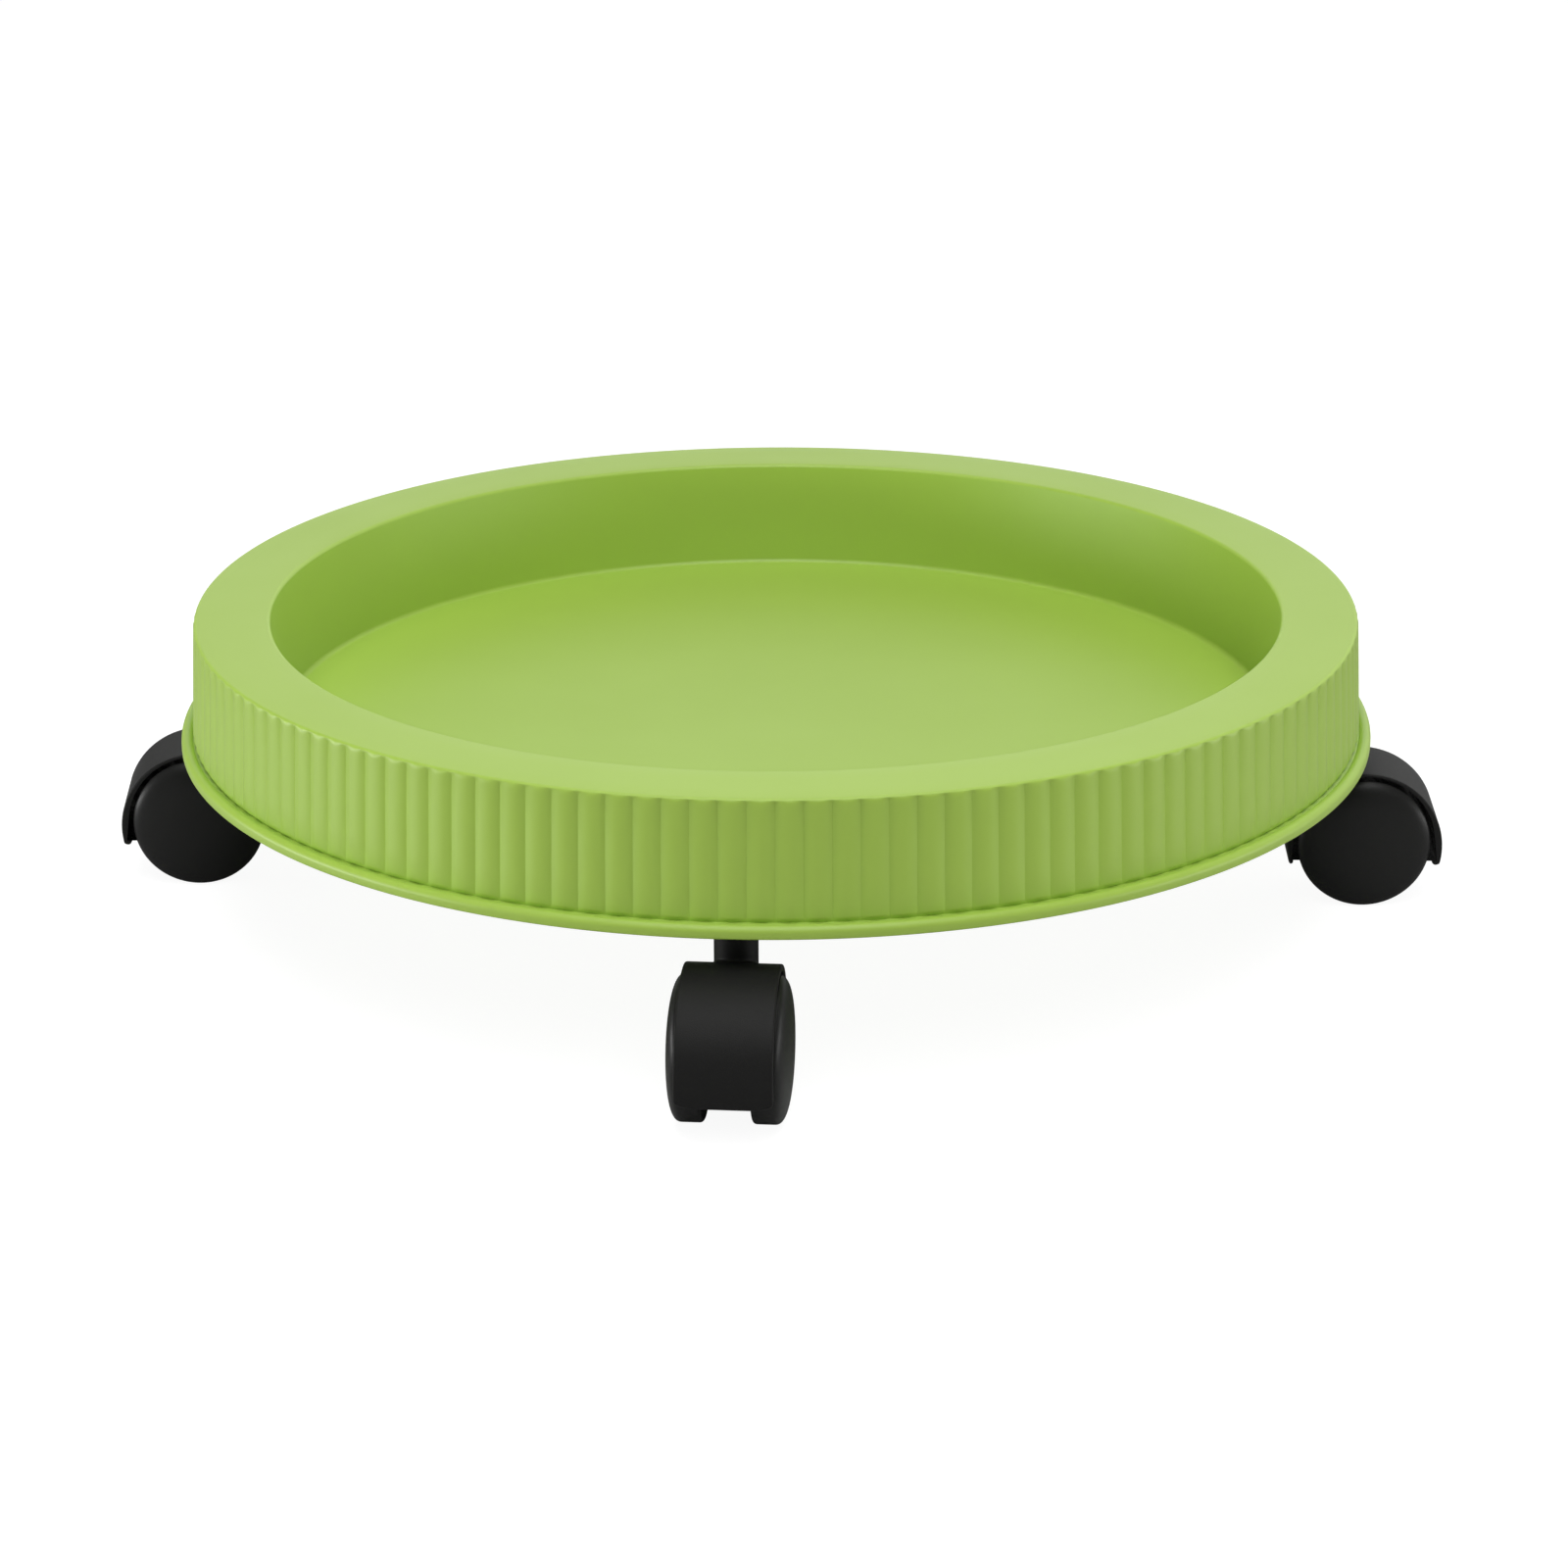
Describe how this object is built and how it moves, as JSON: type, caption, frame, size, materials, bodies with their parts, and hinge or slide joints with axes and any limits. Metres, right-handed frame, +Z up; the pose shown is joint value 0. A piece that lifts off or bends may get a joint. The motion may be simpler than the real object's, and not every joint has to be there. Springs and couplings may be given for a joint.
{
  "type": "plant pot caddy",
  "caption": "Round fluted plastic tray with a recessed floor for a plant pot, rolling on hooded twin-wheel swivel casters.",
  "frame": {"origin": "on the ground, under the middle of the tray", "axes": "+Z up; -Y towards the front caster, +X towards the right caster"},
  "size_m": [0.3949, 0.3942, 0.0874],
  "materials": {
    "green_plastic": "satin moulded polypropylene, lime green",
    "black_plastic": "fine satin moulded nylon, black",
    "wheel_plastic": "smooth satin moulded nylon, black",
    "zinc_steel": "bright zinc-plated steel"
  },
  "bodies": {
    "tray": {"tray": "green_plastic", "stem_front": "zinc_steel", "grip_ring_front": "zinc_steel", "stem_right": "zinc_steel", "grip_ring_right": "zinc_steel", "stem_back": "zinc_steel", "grip_ring_back": "zinc_steel", "stem_left": "zinc_steel", "grip_ring_left": "zinc_steel"},
    "caster_front": {"housing_front": "black_plastic", "axle_front": "zinc_steel"},
    "wheel_front_a": {"wheel_front_a": "wheel_plastic"},
    "wheel_front_b": {"wheel_front_b": "wheel_plastic"},
    "caster_right": {"housing_right": "black_plastic", "axle_right": "zinc_steel"},
    "wheel_right_a": {"wheel_right_a": "wheel_plastic"},
    "wheel_right_b": {"wheel_right_b": "wheel_plastic"},
    "caster_back": {"housing_back": "black_plastic", "axle_back": "zinc_steel"},
    "wheel_back_a": {"wheel_back_a": "wheel_plastic"},
    "wheel_back_b": {"wheel_back_b": "wheel_plastic"},
    "caster_left": {"housing_left": "black_plastic", "axle_left": "zinc_steel"},
    "wheel_left_a": {"wheel_left_a": "wheel_plastic"},
    "wheel_left_b": {"wheel_left_b": "wheel_plastic"}
  },
  "joints": [
    {"name": "swivel_front", "type": "hinge", "parent": "tray", "child": "caster_front", "pos_m": [0, -0.1574, 0.0472], "axis": [0, 0, 1], "continuous": true},
    {"name": "roll_front_a", "type": "hinge", "parent": "caster_front", "child": "wheel_front_a", "pos_m": [-0.00028, -0.1737, 0.0195], "axis": [0.9998, -0.0175, 0], "continuous": true},
    {"name": "roll_front_b", "type": "hinge", "parent": "caster_front", "child": "wheel_front_b", "pos_m": [-0.00028, -0.1737, 0.0195], "axis": [0.9998, -0.0175, 0], "continuous": true},
    {"name": "swivel_right", "type": "hinge", "parent": "tray", "child": "caster_right", "pos_m": [0.1574, 0, 0.0472], "axis": [0, 0, 1], "continuous": true},
    {"name": "roll_right_a", "type": "hinge", "parent": "caster_right", "child": "wheel_right_a", "pos_m": [0.17369, 0.00057, 0.0195], "axis": [-0.0349, 0.9994, 0], "continuous": true},
    {"name": "roll_right_b", "type": "hinge", "parent": "caster_right", "child": "wheel_right_b", "pos_m": [0.17369, 0.00057, 0.0195], "axis": [-0.0349, 0.9994, 0], "continuous": true},
    {"name": "swivel_back", "type": "hinge", "parent": "tray", "child": "caster_back", "pos_m": [0, 0.1574, 0.0472], "axis": [0, 0, 1], "continuous": true},
    {"name": "roll_back_a", "type": "hinge", "parent": "caster_back", "child": "wheel_back_a", "pos_m": [0.00114, 0.17366, 0.0195], "axis": [-0.9976, 0.0698, 0], "continuous": true},
    {"name": "roll_back_b", "type": "hinge", "parent": "caster_back", "child": "wheel_back_b", "pos_m": [0.00114, 0.17366, 0.0195], "axis": [-0.9976, 0.0698, 0], "continuous": true},
    {"name": "swivel_left", "type": "hinge", "parent": "tray", "child": "caster_left", "pos_m": [-0.1574, 0, 0.0472], "axis": [0, 0, 1], "continuous": true},
    {"name": "roll_left_a", "type": "hinge", "parent": "caster_left", "child": "wheel_left_a", "pos_m": [-0.17358, -0.00199, 0.0195], "axis": [0.1219, -0.9925, 0], "continuous": true},
    {"name": "roll_left_b", "type": "hinge", "parent": "caster_left", "child": "wheel_left_b", "pos_m": [-0.17358, -0.00199, 0.0195], "axis": [0.1219, -0.9925, 0], "continuous": true}
  ]
}
